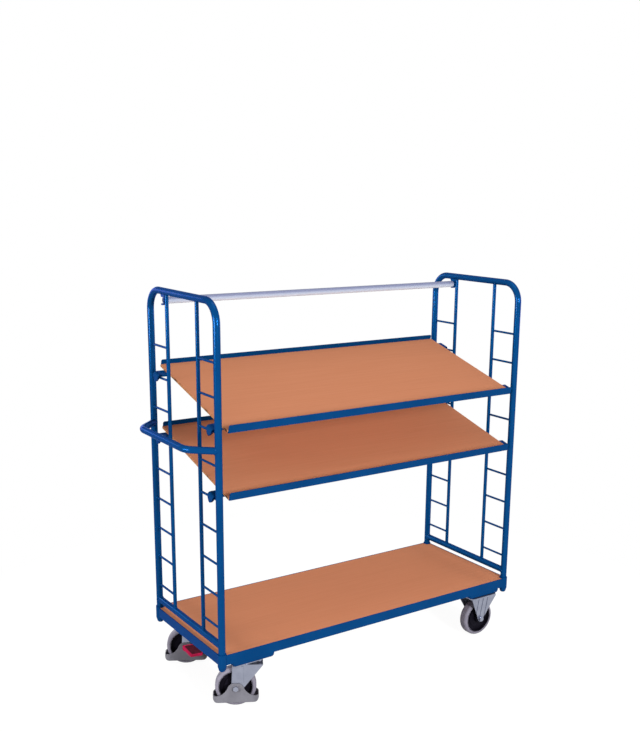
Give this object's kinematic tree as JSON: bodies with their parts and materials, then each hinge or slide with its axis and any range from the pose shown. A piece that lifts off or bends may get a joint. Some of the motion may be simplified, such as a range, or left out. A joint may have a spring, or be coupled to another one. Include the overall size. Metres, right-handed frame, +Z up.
{
  "type": "shelf trolley",
  "caption": "Wheeled shelf trolley: tube end frames with ladder rungs, tilted hook-on shelves, a base board, a push bow, a tie bar, braked swivel casters and fixed casters.",
  "frame": {"origin": "on the floor, under the middle of the overall length and midway between the front and rear uprights", "axes": "+X along the trolley away from the push bow, +Y from the low front edges of the shelves to their high rear edges, +Z up"},
  "size_m": [1.5526, 0.5939, 1.5895],
  "materials": {
    "blue_powder_coat": "smooth semi-gloss powder coat",
    "board": "satin beech-tone board",
    "zinc_plate": "bright zinc plate",
    "grey_tyre": "matt non-marking rubber",
    "black_rim": "moulded, slightly glossy",
    "grey_plastic": "moulded, matt",
    "red_plastic": "moulded, satin"
  },
  "bodies": {
    "frame": {"base_front_rail": "blue_powder_coat", "base_rear_rail": "blue_powder_coat", "base_left_rail": "blue_powder_coat", "base_right_rail": "blue_powder_coat", "corner_sockets": "blue_powder_coat", "deck_board": "board", "caster_pans": "blue_powder_coat", "left_hoop": "blue_powder_coat", "right_hoop": "blue_powder_coat", "left_inner_uprights": "blue_powder_coat", "right_inner_uprights": "blue_powder_coat", "left_rungs": "blue_powder_coat", "right_rungs": "blue_powder_coat", "left_cross_tube": "blue_powder_coat", "right_cross_tube": "blue_powder_coat", "push_bow": "blue_powder_coat", "tie_bar": "zinc_plate", "tie_bar_saddles": "blue_powder_coat", "caster_bolts": "zinc_plate", "left_front_top_plate": "zinc_plate", "left_front_swivel_race": "zinc_plate", "left_front_kingpin": "zinc_plate", "left_rear_top_plate": "zinc_plate", "left_rear_swivel_race": "zinc_plate", "left_rear_kingpin": "zinc_plate", "right_front_fork": "zinc_plate", "right_front_axle": "zinc_plate", "right_rear_fork": "zinc_plate", "right_rear_axle": "zinc_plate"},
    "upper_shelf": {"upper_shelf_board": "board", "upper_shelf_front_lip": "blue_powder_coat", "upper_shelf_rear_lip": "blue_powder_coat", "upper_shelf_bearers": "blue_powder_coat", "upper_shelf_hooks": "blue_powder_coat"},
    "lower_shelf": {"lower_shelf_board": "board", "lower_shelf_front_lip": "blue_powder_coat", "lower_shelf_rear_lip": "blue_powder_coat", "lower_shelf_bearers": "blue_powder_coat", "lower_shelf_hooks": "blue_powder_coat"},
    "left_front_wheel": {"left_front_tyre": "grey_tyre", "left_front_rim": "black_rim", "left_front_hub_sleeve": "zinc_plate"},
    "left_front_caster": {"left_front_fork": "zinc_plate", "left_front_guard": "grey_plastic", "left_front_axle": "zinc_plate"},
    "left_front_pedal": {"left_front_brake_pedal": "red_plastic"},
    "left_rear_wheel": {"left_rear_tyre": "grey_tyre", "left_rear_rim": "black_rim", "left_rear_hub_sleeve": "zinc_plate"},
    "left_rear_caster": {"left_rear_fork": "zinc_plate", "left_rear_guard": "grey_plastic", "left_rear_axle": "zinc_plate"},
    "left_rear_pedal": {"left_rear_brake_pedal": "red_plastic"},
    "right_front_wheel": {"right_front_tyre": "grey_tyre", "right_front_rim": "black_rim", "right_front_hub_sleeve": "zinc_plate"},
    "right_rear_wheel": {"right_rear_tyre": "grey_tyre", "right_rear_rim": "black_rim", "right_rear_hub_sleeve": "zinc_plate"}
  },
  "joints": [
    {"name": "upper_shelf_lift", "type": "slide", "parent": "frame", "child": "upper_shelf", "axis": [0, 0, 1], "range_m": [0, 0.05]},
    {"name": "lower_shelf_lift", "type": "slide", "parent": "frame", "child": "lower_shelf", "axis": [0, 0, 1], "range_m": [0, 0.05]},
    {"name": "left_front_swivel", "type": "hinge", "parent": "frame", "child": "left_front_caster", "pos_m": [-0.54575, -0.215, 0.195], "axis": [0, 0, 1], "continuous": true},
    {"name": "left_front_wheel_spin", "type": "hinge", "parent": "left_front_caster", "child": "left_front_wheel", "pos_m": [-0.57621, -0.19776, 0.08], "axis": [0.4924, 0.8704, 0], "continuous": true},
    {"name": "left_front_brake_press", "type": "hinge", "parent": "left_front_caster", "child": "left_front_pedal", "pos_m": [-0.57621, -0.19776, 0.08], "axis": [0.4924, 0.8704, 0], "range_deg": [0, 15]},
    {"name": "left_rear_swivel", "type": "hinge", "parent": "frame", "child": "left_rear_caster", "pos_m": [-0.54575, 0.215, 0.195], "axis": [0, 0, 1], "continuous": true},
    {"name": "left_rear_wheel_spin", "type": "hinge", "parent": "left_rear_caster", "child": "left_rear_wheel", "pos_m": [-0.57621, 0.23223, 0.08], "axis": [0.4924, 0.8704, 0], "continuous": true},
    {"name": "left_rear_brake_press", "type": "hinge", "parent": "left_rear_caster", "child": "left_rear_pedal", "pos_m": [-0.57621, 0.23223, 0.08], "axis": [0.4924, 0.8704, 0], "range_deg": [0, 15]},
    {"name": "right_front_wheel_spin", "type": "hinge", "parent": "frame", "child": "right_front_wheel", "pos_m": [0.64625, -0.2225, 0.08], "axis": [0, 1, 0], "continuous": true},
    {"name": "right_rear_wheel_spin", "type": "hinge", "parent": "frame", "child": "right_rear_wheel", "pos_m": [0.64625, 0.2225, 0.08], "axis": [0, 1, 0], "continuous": true}
  ]
}
